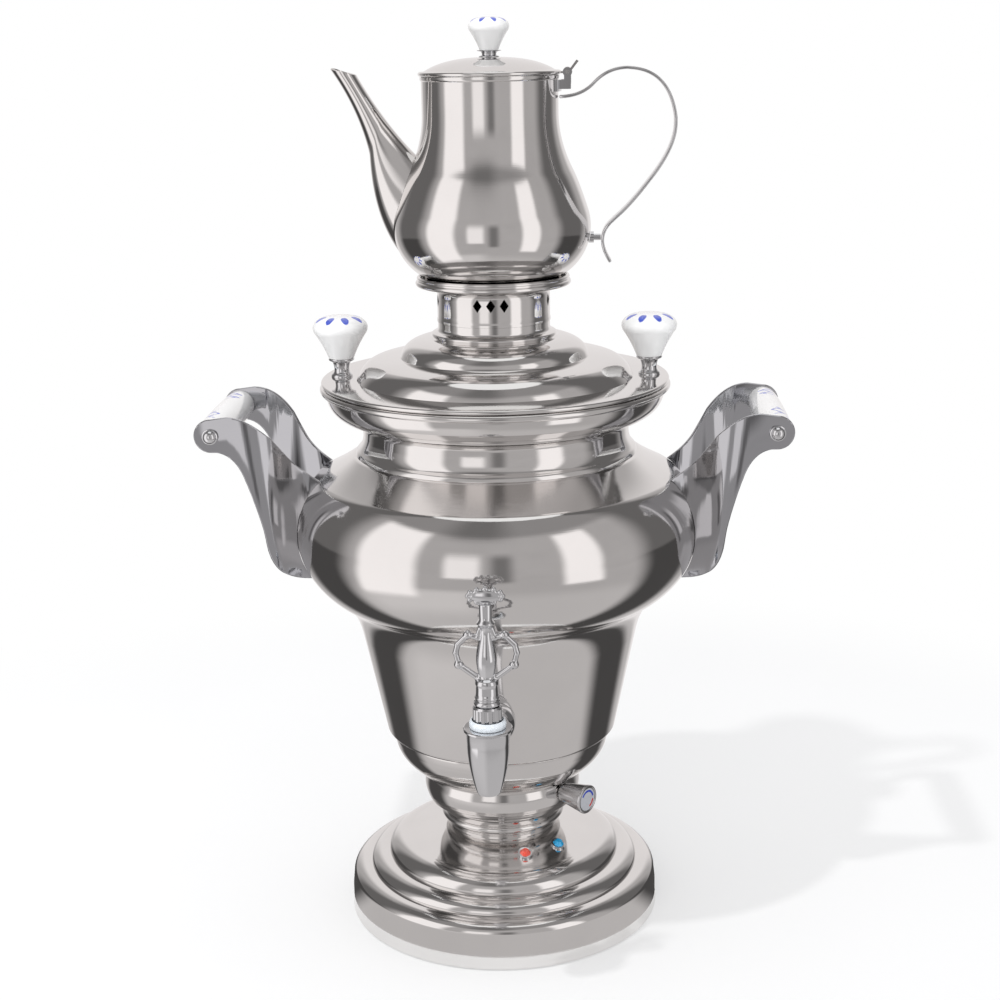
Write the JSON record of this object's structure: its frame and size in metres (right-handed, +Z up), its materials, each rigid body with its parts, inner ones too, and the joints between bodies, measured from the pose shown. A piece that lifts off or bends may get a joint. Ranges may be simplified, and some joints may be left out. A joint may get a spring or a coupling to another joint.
{
  "type": "electric samovar with teapot",
  "caption": "Polished steel electric samovar with a front tap, porcelain-gripped handles and a hinged-lid teapot on a vented sleeve over the lid.",
  "frame": {"origin": "on the table under the middle of the bounding box", "axes": "+Z up, the tap faces -Y, the teapot's spout points to -X, metres"},
  "size_m": [0.3378, 0.2674, 0.5335],
  "materials": {
    "steel": "polished stainless steel",
    "chrome": "bright chrome plate",
    "zinc_steel": "plain zinc plated",
    "porcelain": "white glaze with small blue sprigs",
    "rubber": "matt",
    "white_ring": "cool white",
    "red_lens": "clear red",
    "blue_lens": "clear blue",
    "black_plastic": "plain",
    "cream_plastic": "plain",
    "wire": "sleeved wire",
    "heater_metal": "dull sheath",
    "brass": "turned"
  },
  "bodies": {
    "stand": {"base_shell": "steel", "base_plate": "zinc_steel", "rubber_feet": "rubber", "foot_screws": "zinc_steel", "cord_grommet": "rubber", "terminal_block": "cream_plastic", "red_lamp": "red_lens", "blue_lamp": "blue_lens", "lamp_bezels": "chrome", "lamp_nuts": "black_plastic", "pedestal": "steel", "clamp_plate": "zinc_steel", "tie_stud": "zinc_steel", "tie_nut": "zinc_steel", "heater_housing": "steel", "thermostat_body": "cream_plastic", "thermostat_bush": "zinc_steel", "thermal_cutout": "black_plastic", "inner_leads": "wire", "tank_floor": "steel", "tank_bowl": "steel", "tank_belly": "steel", "tank_neck": "steel", "heater_element": "heater_metal", "heater_seals": "rubber", "heater_nuts": "brass", "tap_escutcheon": "chrome", "tap_body": "chrome", "tap_washer": "rubber", "tap_nut": "brass", "tap_seal": "white_ring", "tap_collar": "chrome", "left_front_cheek": "chrome", "left_back_cheek": "chrome", "right_front_cheek": "chrome", "right_back_cheek": "chrome", "grips": "porcelain", "grip_rods": "zinc_steel", "handle_bolts": "chrome", "handle_nuts": "chrome"},
    "tap_key": {"tap_plug": "chrome", "tap_key": "chrome"},
    "thermostat": {"thermostat_knob": "chrome", "thermostat_spindle": "zinc_steel"},
    "lid": {"lid_cover": "steel", "lid_neck": "steel", "lid_ferrules": "chrome", "lid_knobs": "porcelain", "lid_screws": "zinc_steel"},
    "teapot_stand": {"teapot_stand": "steel"},
    "teapot": {"teapot_body": "steel", "teapot_spout": "steel", "teapot_handle": "chrome", "handle_standoff": "chrome", "hinge_bracket": "chrome", "hinge_pin": "chrome"},
    "teapot_lid": {"teapot_lid": "steel", "teapot_ferrule": "chrome", "teapot_knob": "porcelain", "teapot_screw": "zinc_steel"}
  },
  "joints": [
    {"name": "tap_turn", "type": "hinge", "parent": "stand", "child": "tap_key", "pos_m": [0, -0.1205, 0.15], "axis": [0, 0, 1], "range_deg": [0, 90]},
    {"name": "thermostat_turn", "type": "hinge", "parent": "stand", "child": "thermostat", "pos_m": [0.03849, -0.01451, 0.0828], "axis": [0.7986, -0.6018, 0], "range_deg": [-270, 0]},
    {"name": "lid_lift", "type": "slide", "parent": "stand", "child": "lid", "axis": [0, 0, 1], "range_m": [0, 0.12]},
    {"name": "stand_lift", "type": "slide", "parent": "lid", "child": "teapot_stand", "axis": [0, 0, 1], "range_m": [0, 0.08]},
    {"name": "teapot_lift", "type": "slide", "parent": "teapot_stand", "child": "teapot", "axis": [0, 0, 1], "range_m": [0, 0.12]},
    {"name": "teapot_lid_hinge", "type": "hinge", "parent": "teapot", "child": "teapot_lid", "pos_m": [0.0435, 0.0145, 0.5031], "axis": [0, 1, 0], "range_deg": [0, 75]}
  ]
}
